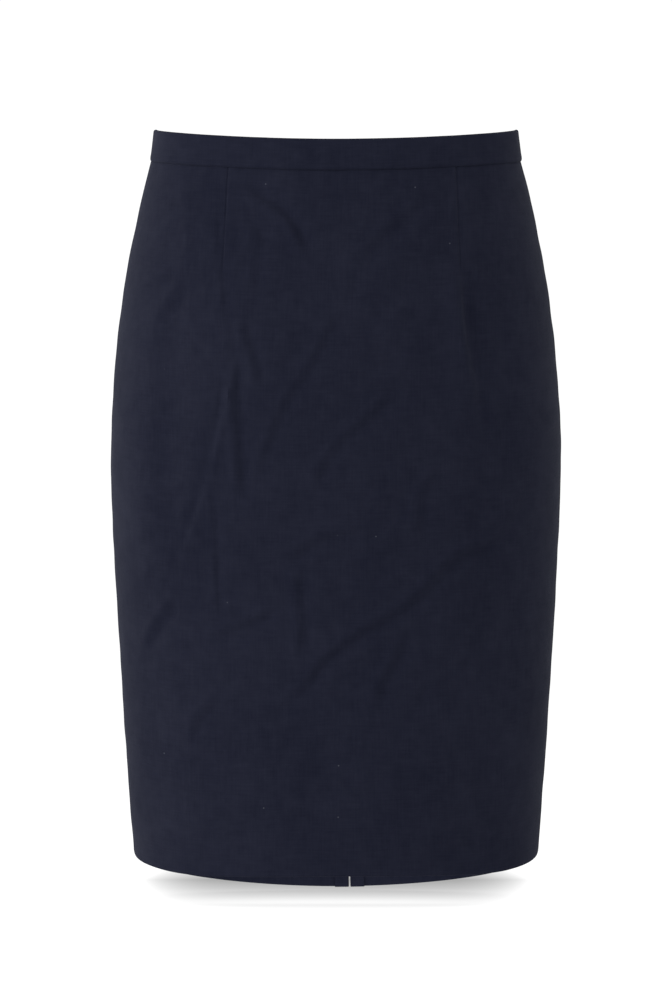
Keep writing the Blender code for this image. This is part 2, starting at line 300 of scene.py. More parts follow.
# %% Sizes of the form
BAND_HEIGHT = 24.4 * MM
SEAM_LEVEL, HIP_LEVEL, HEM_LEVEL = -12.0 * MM, -255.0 * MM, -563.6 * MM
WAIST_WIDTH, HIP_WIDTH, HEM_WIDTH = 147.8 * MM, 180.0 * MM, 161.7 * MM
FRONT_LEVEL, SEAT_LEVEL = -205.0 * MM, -215.0 * MM
WAIST_FRONT, BELLY_FRONT, HEM_FRONT = 88.0 * MM, 117.0 * MM, 107.0 * MM
WAIST_BACK, SEAT_BACK, HEM_BACK = 91.0 * MM, 130.0 * MM, 112.0 * MM
ROUNDNESS = 2.15
WAIST_DIP, WAIST_SAG, WAIST_DIP_BACK = 6.8 * MM, 5.9 * MM, 9.0 * MM
HEM_DROP, HEM_FLAT, HEM_TILT, HEM_LIFT = 28.4 * MM, 21.4 * MM, 1.2 * MM, 7.2 * MM
HEM_DROP_BACK = 36.0 * MM
SIDE_EASE = 0.12
BAND_PROUD, BAND_WALL, BAND_LEAN = 0.4 * MM, 2.4 * MM, 0.12
SEAM_GAP = 0.3 * MM
SIDE_SEAM = math.radians(92)
BACK_DRIFT = 11.5 * MM
SLIT, SLIT_MOUTH, BAND_PARTING = 140.0 * MM, 2.6 * MM, 2.6 * MM
SIDE_LENGTH = SEAM_LEVEL - HEM_LEVEL
STEP = 0.004


def ease(value):
    share = np.clip(value, 0, 1)
    return share * share * (3 - 2 * share)


def profile(z, fullest, level, top, above, low, below):
    up = np.clip((z - level) / (SEAM_LEVEL - level), 0, None)
    down = np.clip((level - z) / (level - HEM_LEVEL), 0, None)
    return fullest - (fullest - top) * up**above - (fullest - low) * down**below


def half_width(z):
    return profile(z, HIP_WIDTH, HIP_LEVEL, WAIST_WIDTH, 2.05, HEM_WIDTH, 1.3)


def depth(z, angle):
    front = profile(z, BELLY_FRONT, FRONT_LEVEL, WAIST_FRONT, 1.9, HEM_FRONT, 1.4)
    back = profile(z, SEAT_BACK, SEAT_LEVEL, WAIST_BACK, 2.0, HEM_BACK, 1.3)
    return np.where(np.cos(angle) > 0, front, back)


def level(angle, down):
    middle = np.abs(np.cos(angle))
    eased = middle * (1 - np.exp(-((middle / SIDE_EASE) ** 2)))
    in_front = np.cos(angle) > 0
    front_waist = WAIST_DIP * middle**2 + WAIST_SAG * eased
    waist = np.where(in_front, front_waist, WAIST_DIP_BACK * middle**2)
    round_part = np.maximum(HEM_DROP * eased, 0.01 * MM)
    straight_part = HEM_FLAT - HEM_TILT * np.sin(angle)
    front_hem = (round_part**-9 + straight_part**-9) ** (-1 / 9) - HEM_LIFT * eased
    hem = np.where(in_front, front_hem, HEM_DROP_BACK * eased)
    top, bottom = SEAM_LEVEL - waist, HEM_LEVEL - hem
    return top + (bottom - top) * down


def bare_face(angle, down):
    """Points on the outer face with no creases, in an array whose last axis is x, y, z."""
    z = level(angle, down)
    side, middle = np.sin(angle), np.cos(angle)
    reach = (np.abs(side) ** ROUNDNESS + np.abs(middle) ** ROUNDNESS) ** (-1 / ROUNDNESS)
    return np.stack((half_width(z) * reach * side, -depth(z, angle) * reach * middle, z), -1)


def outward(angle, down):
    round_body = bare_face(angle + STEP, down) - bare_face(angle - STEP, down)
    down_body = bare_face(angle, down + STEP) - bare_face(angle, down - STEP)
    way = np.cross(down_body, round_body)
    return way / np.linalg.norm(way, axis=-1, keepdims=True)


def lengths_along(points):
    """How far along a line of points each one lies, in metres."""
    return np.concatenate(([0], np.cumsum(np.linalg.norm(np.diff(points, axis=0), axis=1))))


around_hips = bare_face(np.linspace(-math.pi, math.pi, 721), 0.4)
print("hip girth in mm:", round(1000 * lengths_along(around_hips)[-1]))

# %% [markdown]
# ## Creases
# Cloth that has been worn and pressed keeps soft drag lines: down the thighs from the dart
# points, and slanting across the lap. Each is a route of (x, z) points in millimetres, from
# its top to its lower end, with a width and a height. A drag line is a small step in the
# cloth with a shallow groove along it: a low ridge on one side and a low trough on the other,
# so that light from the left leaves a dark line where it falls to the right. A negative height
# swaps the ridge and the trough. A hollow is a broad, even trough, and with a negative height
# it is a swell.

# %% Creases
FRONT_DRAGS = (
    # below the darts
    (((-80, -148), (-79, -197), (-77, -232), (-75, -260), (-73, -294)), 4.0, 1.95),
    (((-88, -112), (-84, -138), (-80, -166), (-91, -220), (-101, -264), (-118, -315),
      (-134, -358)), 2.8, -1.15),
    (((-97, -278), (-95, -311), (-93, -354), (-92, -378)), 3.0, 0.9),
    (((97, -98), (101, -128), (105, -160), (112, -188), (117, -216)), 5.0, 1.95),
    (((-74, -140), (-66, -170), (-57, -198)), 4.0, 1.4),
    (((-89, -115), (-86, -130), (-82, -146), (-79, -168)), 2.8, 1.1),
    (((-93, -58), (-93, -74), (-93, -92)), 2.4, 0.8),
    (((-89, -100), (-90, -109), (-86, -117)), 3.0, 0.7),
    (((-115, -56), (-114, -84), (-117, -112)), 4.0, 0.7),
    (((-64, -70), (-62, -96), (-66, -128)), 4.0, 0.7),
    # from the tops of the darts towards the middle
    (((-77, -36), (-56, -48), (-40, -60), (-29, -76), (-22, -93)), 3.8, 1.7),
    (((-72, -64), (-60, -74), (-54, -92)), 4.0, 0.9),
    (((76, -44), (54, -62), (34, -79), (17, -98)), 4.2, 0.91),
    # at the hips
    (((-117, -110), (-130, -128), (-143, -146)), 4.5, 1.82),
    (((-123, -358), (-136, -375), (-146, -391), (-154, -406)), 3.8, 1.82),
    # slanting from the lap to the thighs
    (((8, -130), (-9, -158), (-21, -181), (-40, -209), (-54, -244), (-69, -284)), 3.6, 1.0),
    (((46, -198), (32, -213), (15, -228), (-1, -244), (-13, -264), (-21, -288)), 3.8, 1.04),
    (((24, -308), (-1, -311), (-20, -318), (-43, -337)), 3.8, 1.3),
    (((-30, -334), (-28, -356), (-26, -388), (-31, -410)), 4.0, 1.15),
    (((-46, -368), (-71, -381), (-103, -393)), 3.6, 1.5),
    (((86, -250), (70, -275), (66, -293), (64, -318)), 4.2, 0.72),
    (((13, -106), (12, -126)), 4.0, 0.52),
    # the long drag line across the lap, and the ones below it
    (((149, -264), (144, -288), (124, -315), (101, -325), (85, -337), (70, -354), (50, -370),
      (26, -384), (10, -394), (-9, -409), (-25, -430), (-48, -448), (-70, -463)), 3.5, 1.35),
    (((56, -389), (46, -409), (36, -429), (31, -446)), 4.0, 1.0),
    (((72, -425), (58, -447)), 4.2, 0.59),
    (((-88, -437), (-105, -452), (-111, -464), (-111, -476)), 3.8, 1.5),
)
FRONT_HOLLOWS = (
    (((-124, -70), (-130, -150), (-131, -220), (-133, -290), (-136, -350)), 14, 3.5),
    (((99, -92), (103, -140), (109, -180), (115, -214), (119, -246)), 4.5, 2.9),
    (((138, -294), (116, -320), (92, -333), (76, -346)), 4.5, 1.1),
    (((-152, -388), (-143, -430), (-140, -500), (-139, -560)), 10, 1.1),
    (((-61, -76), (-63, -120), (-60, -168)), 9, 0.7),
    (((-99, -50), (-100, -120), (-100, -190)), 9, -0.7),
    (((90, -66), (92, -130), (98, -190), (100, -244)), 12, -1.0),
    (((126, -110), (131, -200), (132, -266)), 13, 0.8),
    (((108, -352), (84, -392), (58, -430)), 14, -0.8),
    (((-30, -120), (-36, -170), (-52, -220)), 14, 0.5),
    (((12, -506), (30, -532), (52, -552)), 18, 0.5),
    (((-92, -500), (-66, -528), (-40, -536)), 18, 0.5),
    (((110, -470), (122, -520), (124, -560)), 12, 0.6),
)
BACK_DRAGS = (
    (((-79, -146), (-76, -190), (-73, -232), (-72, -268)), 4.4, 1.8),
    (((82, -144), (80, -186), (76, -226), (75, -262)), 4.4, 1.9),
    (((-134, -268), (-104, -312), (-66, -344), (-26, -372), (-8, -380)), 4.2, -1.5),
    (((138, -298), (108, -340), (66, -384), (26, -418)), 4.2, 1.8),
    (((38, -190), (20, -212), (6, -226)), 4.0, 1.2),
    (((-44, -186), (-24, -210), (-14, -226)), 4.0, -1.2),
    (((-116, -414), (-86, -444), (-52, -470)), 4.0, -1.3),
    (((118, -132), (132, -160), (146, -188)), 4.5, -1.5),
    (((-60, -40), (-42, -58), (-32, -84)), 4.0, -1.2),
    (((64, -42), (46, -60), (36, -82)), 4.0, 1.3),
    (((104, -236), (76, -262), (48, -292), (24, -304)), 4.0, 1.3),
    (((92, -430), (66, -462), (44, -484)), 4.0, 1.3),
)
BACK_HOLLOWS = (
    (((-112, -96), (-116, -160), (-116, -240)), 13, 1.1),
    (((112, -96), (116, -160), (116, -240)), 13, 1.1),
    (((-92, -84), (-94, -150), (-94, -226)), 11, -0.8),
    (((92, -84), (94, -150), (94, -226)), 11, -0.8),
    (((-16, -410), (-18, -456), (-12, -520)), 12, 0.8),
    (((58, -468), (90, -492), (116, -500)), 12, 0.6),
    (((0, -236), (1, -262), (0, -290)), 14, 0.7),
)


GROOVE_SHARE, GROOVE_SHARPNESS = 0.45, 1.5
DRAG_FADES, HOLLOW_FADES = (0.2, 0.25), (0.3, 0.3)


def smooth_route(points, steps=8):
    """More points along a route, on a curve through the given ones."""
    points = np.array(points, float)
    ends = np.vstack((2 * points[0] - points[1], points, 2 * points[-1] - points[-2]))
    share = np.linspace(0, 1, steps, endpoint=False)[:, None]
    runs = []
    for a, b, c, d in zip(ends, ends[1:], ends[2:], ends[3:]):
        bend = (2 * a - 5 * b + 4 * c - d) * share**2 + (3 * b - a - 3 * c + d) * share**3
        runs.append(b + ((c - a) * share + bend) / 2)
    return np.vstack(runs + [points[-1:]])


def nearest_on_route(x, z, route):
    """For each (x, z): mm to the route, plus on its lower right side, and the share along it."""
    here = np.stack((x, z), -1) / MM
    line = smooth_route(route)
    gap, side, place = np.full(x.shape, 1e9), np.ones(x.shape), np.zeros(x.shape)
    for i, (start, end) in enumerate(zip(line, line[1:])):
        along, beside = end - start, here - start
        share = np.clip((beside @ along) / (along @ along), 0, 1)
        away = np.linalg.norm(beside - share[..., None] * along, axis=-1)
        turn = along[0] * beside[..., 1] - along[1] * beside[..., 0]
        closer = away < gap
        gap = np.where(closer, away, gap)
        side = np.where(closer, np.where(turn > 0, 1, -1), side)
        place = np.where(closer, (i + share) / (len(line) - 1), place)
    return gap * side, place


def fade_out(place, fades):
    """0 at both ends of a route and 1 between, with the shares of it that the fades take."""
    return ease(place / fades[0]) * ease((1 - place) / fades[1])


def crease_depth(x, z, drags, hollows):
    """How far the creases press the cloth in at each (x, z)."""
    total = np.zeros(x.shape)
    for route, width, height in drags:
        beside, place = nearest_on_route(x, z, route)
        share = beside / width
        step = share * np.exp((1 - share**2) / 2) * height
        groove = GROOVE_SHARE * abs(height) * np.exp(-GROOVE_SHARPNESS * share**2)
        total += (step + groove) * MM * fade_out(place, DRAG_FADES)
    for route, width, height in hollows:
        beside, place = nearest_on_route(x, z, route)
        trough = height * MM * np.exp(-((beside / width) ** 2))
        total += trough * fade_out(place, HOLLOW_FADES)
    return total


print("creases in front:", len(FRONT_DRAGS + FRONT_HOLLOWS))
print("creases behind:", len(BACK_DRAGS + BACK_HOLLOWS))

# %% [markdown]
# ## Darts
# A dart is a wedge of cloth sewn away at the waist so that flat cloth fits a round hip. What
# shows is a fine sewn line that ends in a point, with the folded wedge lying under the cloth on
# its inner side and raising it a little. Here a dart is a line (x at the top, x and z at its
# point), and the columns of the cloth are placed along it so that the line is crisp.

# %% Darts
FRONT_DARTS = ((-84.5, -89.5, -111), (94.5, 97.5, -110))
BACK_DARTS = ((-78.0, -82.0, -140), (78.0, 82.0, -140))
DART_FADE = 16
DART_LINE_DEPTH, DART_LINE_WIDTH = 0.62, 0.75
WEDGE_HEIGHT, WEDGE_FLAT, WEDGE_SLOPE = 0.32, 4, 6


def dart_x(dart, z):
    """The dart's line, in metres. Past its point it goes straight on, as a column line only."""
    top, low, end = (value * MM for value in dart)
    start = SEAM_LEVEL - WAIST_DIP
    return top + (low - top) * np.clip((start - z) / (start - end), 0, 1.6)


def dart_depth(x, z, darts):
    total = np.zeros(x.shape)
    for dart in darts:
        beside = (x - dart_x(dart, z)) / MM
        inner = -np.sign(dart[0]) * beside
        fade = ease((z / MM - dart[2]) / DART_FADE)
        line = DART_LINE_DEPTH * np.exp(-((beside / DART_LINE_WIDTH) ** 2))
        wedge = WEDGE_HEIGHT * ease(inner) * (1 - ease((inner - WEDGE_FLAT) / WEDGE_SLOPE)) * fade
        total += (line * fade - wedge) * MM
    return total


print("darts end at z, in mm:", [dart[2] for dart in FRONT_DARTS])

# %% [markdown]
# ## A sheet of cloth on a grid
# Each panel is a sheet of points in rows and columns. Real panels don't stop at their seams:
# they turn under, and the seam allowance lies flat inside. So the rows and columns follow a
# path that runs out to the edge, rolls under it and comes back. A path is a list of pairs, the
# distance from the edge and how far in the cloth lies there, in millimetres. Solidify then
# gives the sheet its real thickness.

# %% Paths over the edges, and the grid
CLOTH = 0.55 * MM
SEAM_ROLL = ((0.0, 0.78), (0.12, 0.44), (0.34, 0.22), (0.75, 0.08), (1.3, 0.02), (2.0, 0.0),
             (3.6, 0.0))
SEAM_UNDER = ((0.0, 1.02), (0.4, 1.26), (1.2, 1.38), (4.0, 1.45), (7.5, 1.48), (11.0, 1.5))
HEM_ROLL = ((0.0, 0.95), (0.14, 0.52), (0.5, 0.2), (1.1, 0.05), (2.0, 0.0), (3.4, 0.0))
HEM_UNDER = ((0.16, 1.36), (0.6, 1.62), (1.4, 1.72), (3.0, 1.76))
HEM_TURN_UP = 32.0
BAND_TUCK = ((-7, 1.3), (-4.5, 1.3), (-2.4, 1.3), (-1.3, 1.27), (-0.75, 1.1), (-0.4, 0.74),
             (-0.15, 0.38), (0.15, 0.13), (0.6, 0.03), (2.2, 0.0))
ROW_SPACING = 3.1
COLUMN_SPACING = 2.9
DART_SIDES = (0.4, 0.9, 1.7, 3.4)
TURN_UP_ROWS = 6
FAN = 161


def panel_rows():
    """(share down, mm inward) of each row, from under the waistband to the turned-up edge."""
    length = SIDE_LENGTH / MM
    rows = [(below / length, inward) for below, inward in BAND_TUCK]
    first, last = BAND_TUCK[-1][0], length - HEM_ROLL[-1][0]
    count = round((last - first) / ROW_SPACING)
    rows += [((first + (last - first) * i / count) / length, 0.0) for i in range(1, count)]
    rows += [(1 - above / length, inward) for above, inward in reversed(HEM_ROLL)]
    rows += [(1 - above / length, inward) for above, inward in HEM_UNDER]
    rise = np.linspace(HEM_UNDER[-1][0], HEM_TURN_UP, TURN_UP_ROWS + 1)[1:]
    rows += [(1 - above / length, HEM_UNDER[-1][1]) for above in rise]
    return np.array(rows)


def columns_between(start_seam, end_seam, length):
    """Columns between two lines, as (mm from the start, mm from the end, mm inward).

    A seam gets its turned edge, and a dart gets closer columns beside its line.
    """
    near = [(gap, 0.0, 0.0) for gap in DART_SIDES]
    far = [(0.0, gap, 0.0) for gap in reversed(DART_SIDES)] + [(0.0, 0.0, 0.0)]
    if start_seam:
        near = [(gap, 0.0, inward) for gap, inward in SEAM_UNDER[::-1] + SEAM_ROLL]
    if end_seam:
        far = [(0.0, gap, inward) for gap, inward in SEAM_ROLL[::-1] + SEAM_UNDER]
    count = round((length - near[-1][0] - far[0][1]) / COLUMN_SPACING)
    return near, count, far


def row_angles(down, lines, plans):
    """The angles of one row's columns, measured along the cloth from the lines on either side."""
    angles = []
    for first, last, (near, count, far) in zip(lines, lines[1:], plans):
        fan = np.linspace(first(down), last(down), FAN)
        reached = lengths_along(bare_face(fan, down))
        length = reached[-1] / MM
        start, end = near[-1][0], length - far[0][1]
        middle = [start + (end - start) * i / count for i in range(1, count)]
        places = [gap for gap, _, _ in near] + middle + [length - gap for _, gap, _ in far]
        angles.append(np.interp(np.array(places) * MM, reached, fan))
    return np.concatenate(angles)


def angle_of_gap(angle, down, gap):
    """The angle that a gap in metres takes up round the body."""
    walked = np.linalg.norm(bare_face(angle + STEP, down) - bare_face(angle - STEP, down))
    return gap / (walked / (2 * STEP))


def centre_back(down):
    return math.pi - BACK_DRIFT / HEM_WIDTH * np.clip(down, 0, None) ** 1.5


def ripple(points, reach, scale):
    """Small unevenness: smooth noise, `scale` long along x, y and z."""
    stretched = (points / scale).reshape(-1, 3).tolist()
    made = [noise.noise(point) for point in stretched]
    return reach * np.array(made).reshape(points.shape[:-1])


def slanted(points):
    """The points turned so that x runs across a slanting drag line and z runs along it."""
    across = 0.77 * points[..., 0] - 0.64 * points[..., 2]
    along = 0.64 * points[..., 0] + 0.77 * points[..., 2]
    return np.stack((across, points[..., 1], along), -1)


print("rows in a panel:", len(panel_rows()))


# %% [markdown]
# ## From grid to mesh
# The grid becomes quads. The UV map holds each point's distance across and along the cloth in
# metres, so the twill keeps one size everywhere. Faces must point outwards before Solidify.

# %% Grid to mesh
SMOOTH_BELOW = math.radians(50)
HIP_SHARE = 0.42
RIPPLES = ((0.18 * MM, 20 * MM), (0.4 * MM, 70 * MM))
DRAG_RIPPLE, DRAG_SCALE = 0.5 * MM, np.array((15, 60, 55)) * MM


def sheet_object(name, points, thickness, finish, flip=False):
    rows, columns = points.shape[:2]
    index = np.arange(rows * columns).reshape(rows, columns)
    corners = (index[:-1, :-1], index[1:, :-1], index[1:, 1:], index[:-1, 1:])
    faces = np.stack(corners if not flip else corners[::-1], -1).reshape(-1, 4)
    mesh = bpy.data.meshes.new(name)
    mesh.from_pydata(points.reshape(-1, 3).tolist(), [], faces.tolist())
    across = np.linalg.norm(np.diff(points, axis=1, prepend=points[:, :1]), axis=-1).cumsum(1)
    across -= across[:, columns // 2][:, None]
    along = np.linalg.norm(np.diff(points, axis=0, prepend=points[:1]), axis=-1).cumsum(0)
    along[:] = along[:, columns // 2][:, None]
    where = np.stack((across, along), -1).reshape(-1, 2)
    corners_of = np.empty(len(mesh.loops), np.int32)
    mesh.loops.foreach_get("vertex_index", corners_of)
    uv = mesh.uv_layers.new(name="cloth")
    uv.data.foreach_set("uv", where[corners_of].ravel())
    mesh.materials.append(finish)
    made = bpy.data.objects.new(name, mesh)
    bpy.context.collection.objects.link(made)
    thick = made.modifiers.new("thickness", "SOLIDIFY")
    thick.thickness = thickness
    thick.offset = -1
    thick.use_even_offset = False
    bpy.ops.object.select_all(action="DESELECT")
    made.select_set(True)
    bpy.context.view_layer.objects.active = made
    bpy.ops.object.modifier_apply(modifier="thickness")
    bpy.ops.object.shade_smooth_by_angle(angle=SMOOTH_BELOW)
    return made


def add_panel(name, lines, seams, darts, drags, hollows):
    """A panel between seam lines, with its darts as inner lines."""
    plans = []
    for k, (first, last) in enumerate(zip(lines, lines[1:])):
        fan = np.linspace(first(HIP_SHARE), last(HIP_SHARE), FAN)
        length = lengths_along(bare_face(fan, HIP_SHARE))[-1] / MM
        plans.append(columns_between(seams[k], seams[k + 1], length))
    inward_columns = np.concatenate([
        [inward for _, _, inward in near] + [0.0] * (count - 1) + [inward for _, _, inward in far]
        for near, count, far in plans])
    rows = panel_rows()
    angle = np.stack([row_angles(down, lines, plans) for down, _ in rows])
    down = np.repeat(rows[:, :1], angle.shape[1], axis=1)
    inward = (rows[:, 1:] + inward_columns[None, :]) * MM
    bare = bare_face(angle, down)
    x, z = bare[..., 0], bare[..., 2]
    facing = np.abs(np.cos(angle)) ** 0.5
    inward = inward + crease_depth(x, z, drags, hollows) * facing + dart_depth(x, z, darts)
    for reach, scale in RIPPLES:
        inward = inward + ripple(bare, reach, scale)
    inward = inward + ripple(slanted(bare), DRAG_RIPPLE, DRAG_SCALE)
    points = bare - outward(angle, down) * inward[..., None]
    return sheet_object(name, points, CLOTH, panel_finish)


print("a panel is add_panel(name, lines, seams, darts, drags, hollows)")

# %% [markdown]
# ## The front
# One wide piece between the two side seams, with a dart on each side. Its side seams lie just
# behind the sides, so that from the front the silhouette is clean cloth.

# %% Front panel
def steady(angle):
    return lambda down: angle


def dart_line(dart, back=False):
    """The angle of a dart's line at each share down."""
    def line(down):
        fan = np.linspace(-1.5, 1.5, 401) + (math.pi if back else 0.0)
        face = bare_face(fan, down)
        x, z = face[:, 0], face[:, 2]
        order = np.argsort(x)
        return float(np.interp(0.0, (x - dart_x(dart, z))[order], fan[order]))
    return line


front_lines = [
    steady(-SIDE_SEAM), dart_line(FRONT_DARTS[0]), dart_line(FRONT_DARTS[1]), steady(SIDE_SEAM)]
front_seams = (True, False, False, True)
front = add_panel("front", front_lines, front_seams, FRONT_DARTS, FRONT_DRAGS, FRONT_HOLLOWS)
print("front:", len(front.data.polygons), "faces")

# %% [markdown]
# ## The backs
# Two mirrored pieces that meet at the centre back. Below the seam they part in a slit, and each
# edge of the slit turns under like a seam. The centre-back line drifts a little to one side on
# its way down, because the cloth hangs with a slight twist.

# %% Back panels
def back_half_gap(down):
    slit_top = 1 - SLIT / SIDE_LENGTH
    opening = ease((down - slit_top) / (1 - slit_top))
    return (SLIT_MOUTH - SEAM_GAP) * opening / 2


def back_line(side):
    def line(down):
        middle = centre_back(down) if side > 0 else centre_back(down) - 2 * math.pi
        return middle - side * angle_of_gap(middle, down, back_half_gap(down))
    return line


def a_turn_less(line):
    """The same line, with its angle counted from the front by the -X side."""
    return lambda down: line(down) - 2 * math.pi


left_lines = [steady(SIDE_SEAM), dart_line(BACK_DARTS[1], True), back_line(1)]
right_lines = [back_line(-1), a_turn_less(dart_line(BACK_DARTS[0], True)), steady(-SIDE_SEAM)]
back_parts = ((True, False, True), BACK_DARTS, BACK_DRAGS, BACK_HOLLOWS)
back_left = add_panel("back_left", left_lines, *back_parts)
back_right = add_panel("back_right", right_lines, *back_parts)
print("backs:", len(back_left.data.polygons) + len(back_right.data.polygons), "faces")

# %% [markdown]
# ## The waistband
# One long strip folded double over its top edge. In section it goes up inside, from just above
# the seam, over the fold and down outside, where it curls under at the seam. The seam allowances
# inside make it stand out a little just above the seam, so the middle looks faintly hollow. The
# section is carried round the waist, and at the centre back the two layers close together into a
# finished end.

# %% Waistband
BAND_COLUMNS = 300
BAND_END, BAND_END_STEP = 1.2, 0.004
BAND_CLOTH = 0.5 * MM
BAND_RIPPLES = ((0.14 * MM, 26 * MM), (0.1 * MM, 9 * MM))
ALLOWANCE_SWELL, FOLD_SWELL = 0.75, 0.25


def band_section():
    """(mm above the seam, mm out from the skirt's face), from inside bottom to outside bottom."""
    top, out = BAND_HEIGHT / MM, BAND_PROUD / MM
    inner = out - BAND_WALL / MM
    half = BAND_WALL / MM / 2
    inside = [(height, inner) for height in np.linspace(0.8, top - 3.0, 8)]
    fold = [(top - half + half * math.sin(turn), out - half - half * math.cos(turn))
            for turn in np.linspace(0, math.pi, 11)]
    outside = [(height, out) for height in np.linspace(top - 2.2, 2.2, 16)]
    curl = [(1.3, out - 0.03), (0.75, out - 0.14), (0.4, out - 0.36), (0.3, out - 0.65),
            (0.45, out - 0.95)]
    tucked = [(1.0, out - 1.12), (2.5, out - 1.16), (6.0, out - 1.16)]
    return np.array(inside + fold + outside + curl + tucked)


def band_swell(height):
    """mm that the outer face stands out, over the seam allowances and near the fold."""
    allowances = ALLOWANCE_SWELL * ease((height - 0.4) / 1.8) * (1 - ease((height - 3.4) / 2.2))
    return allowances + FOLD_SWELL * ease((height - 17) / 4)


def band_points(angle, height, out):
    foot = bare_face(angle, np.zeros_like(angle))
    level_out = outward(angle, np.zeros_like(angle)) * (1, 1, 0)
    level_out /= np.linalg.norm(level_out, axis=-1, keepdims=True)
    up = np.stack((np.zeros_like(height), np.zeros_like(height), height), -1)
    return foot + up + level_out * (out - BAND_LEAN * height)[..., None]


def add_waistband():
    section = band_section()
    height, out = section[:, 0], section[:, 1]
    is_outer = out > BAND_PROUD / MM - 0.7
    swell = band_swell(height) * is_outer
    parting = ease((height - 2) / 9)
    half_gap = (SEAM_GAP + (BAND_PARTING - SEAM_GAP) * parting) / 2
    start = math.pi - np.array([angle_of_gap(math.pi, 0.0, gap) for gap in half_gap])
    steps = np.sin(np.linspace(-math.pi / 2, math.pi / 2, 9))[:4]
    one_end = -1 + (steps + 1) * BAND_END_STEP
    share = np.concatenate((one_end, np.linspace(-0.99, 0.99, BAND_COLUMNS), -one_end[::-1]))
    angle = start[:, None] * share[None, :]
    from_end = (1 - np.abs(share)) * math.pi * WAIST_BACK / MM
    pinch = np.sqrt(1 - (1 - np.clip(from_end / BAND_END, 0.02, 1)) ** 2)
    middle = (BAND_PROUD - BAND_WALL / 2) / MM
    facing = np.abs(np.cos(angle)) ** 0.5
    spread = middle + (out[:, None] + swell[:, None] * facing - middle) * pinch[None, :]
    tall = np.repeat(height[:, None], len(share), axis=1)
    points = band_points(angle, tall * MM, spread * MM)
    wave = sum(ripple(points, reach, scale) for reach, scale in BAND_RIPPLES)
    points = points + outward(angle, np.zeros_like(angle)) * wave[..., None]
    return sheet_object("band", points, BAND_CLOTH, band_finish, flip=True)


band = add_waistband()
print("waistband:", len(band.data.polygons), "faces")

# %% [markdown]
# ## The concealed zip's tapes
# The zip closes the centre back, from just under the top of the waistband down. Its two tapes
# are narrow woven ribbons on the inner side of the cloth, one beside each edge of the opening.
# They follow the same lines as the backs, so each point of a tape is placed by how far it lies
# below the waistband's top, how far across from the line, and how far inward.

# %% Zip tapes
ZIP_LENGTH, TAPE_TOP, TAPE_WIDTH = 170.0 * MM, 1.5 * MM, 11.0 * MM
TAPE_DEPTH, TAPE_INSET, TAPE_CLOTH = 2.5 * MM, 1.2 * MM, 0.5 * MM
TAPE_ROWS, TAPE_COLUMNS = 68, 8
SEAM_BOW, SEAM_BOW_REACH = 0.8 * MM, 6.0 * MM


def zip_point(run, side, across, inward):
    """The zip bows inward a little as it passes the waistband's seam and its allowances."""
    height = BAND_HEIGHT - run
    inward = inward + SEAM_BOW * math.exp(-((height / SEAM_BOW_REACH) ** 2))
    if height > 0:
        angle = math.pi - angle_of_gap(math.pi, 0.0, side * across)
        return band_points(np.array(angle), np.array(height), np.array(-inward))
    down = -height / SIDE_LENGTH
    middle = centre_back(down)
    angle = middle - angle_of_gap(middle, down, side * across)
    return bare_face(angle, down) - outward(angle, down) * inward


def zip_frame(run, side, across, inward):
    """Where a piece on the zip goes: its x across, its y outward, its z up along the tape."""
    here = Vector(zip_point(run, side, across, inward))
    up = (Vector(zip_point(run - MM, side, across, inward)) - here).normalized()
    out = (Vector(zip_point(run, side, across, inward - MM)) - here).normalized()
    sideways = out.cross(up).normalized()
    axes = Matrix((sideways, up.cross(sideways), up)).transposed()
    return Matrix.Translation(here) @ axes.to_4x4()


def add_tape(name, side):
    runs = np.linspace(TAPE_TOP, ZIP_LENGTH, TAPE_ROWS)
    steps = np.linspace(TAPE_INSET, TAPE_INSET + TAPE_WIDTH, TAPE_COLUMNS)
    steps = sorted(steps, reverse=side > 0)
    rows = [[zip_point(run, side, across, TAPE_DEPTH) for across in steps] for run in runs]
    return sheet_object(name, np.array(rows), TAPE_CLOTH, tape_finish)


RIBBON_CORD, RIBBON_THREAD = 1.1 * MM, 0.5 * MM
RIBBON_DEEP, RIBBON_PALE = (0.006, 0.007, 0.015, 1), (0.013, 0.015, 0.029, 1)

ribbon = Finish("zip_ribbon", Roughness=0.8, Specular_IOR_Level=0.25)
ribbon_uv = ribbon.node("ShaderNodeUVMap", {"uv_map": "cloth"})
ribbon_x = ribbon.node("ShaderNodeSeparateXYZ", None, {0: ribbon_uv}, output="X")
ribbon_y = ribbon.node("ShaderNodeSeparateXYZ", None, {0: ribbon_uv}, output="Y")
cords = (ribbon_x * (2 * math.pi / RIBBON_CORD)).sine()
threads = (ribbon_y * (2 * math.pi / RIBBON_THREAD)).sine()
ribbon_weave = cords * 0.5 + threads * 0.3 + ribbon.object_noise(1800, 2) * 0.6
ribbon.feed(
    Base_Color=ribbon.mix(ribbon_weave * 0.5 + 0.4, RIBBON_DEEP, RIBBON_PALE),
    Normal=ribbon.bump(ribbon_weave, 0.08 * MM, 0.7),
)
tape_finish = ribbon.material
tape_left, tape_right = add_tape("tape_left", 1), add_tape("tape_right", -1)
print("tapes:", len(tape_left.data.polygons), "faces each")

# %% [markdown]
# ## The zip's coil
# The teeth of a concealed zip are the turns of a plastic wire, sewn along the tape's edge. One
# turn is modelled: a ring that is stretched across, flattened and tilted in edit mode. It is then
# copied along both tapes, each copy with its own mesh, with the two rows half a turn apart so
# that they lock. The rows start under the slider and end at a small moulded stop.

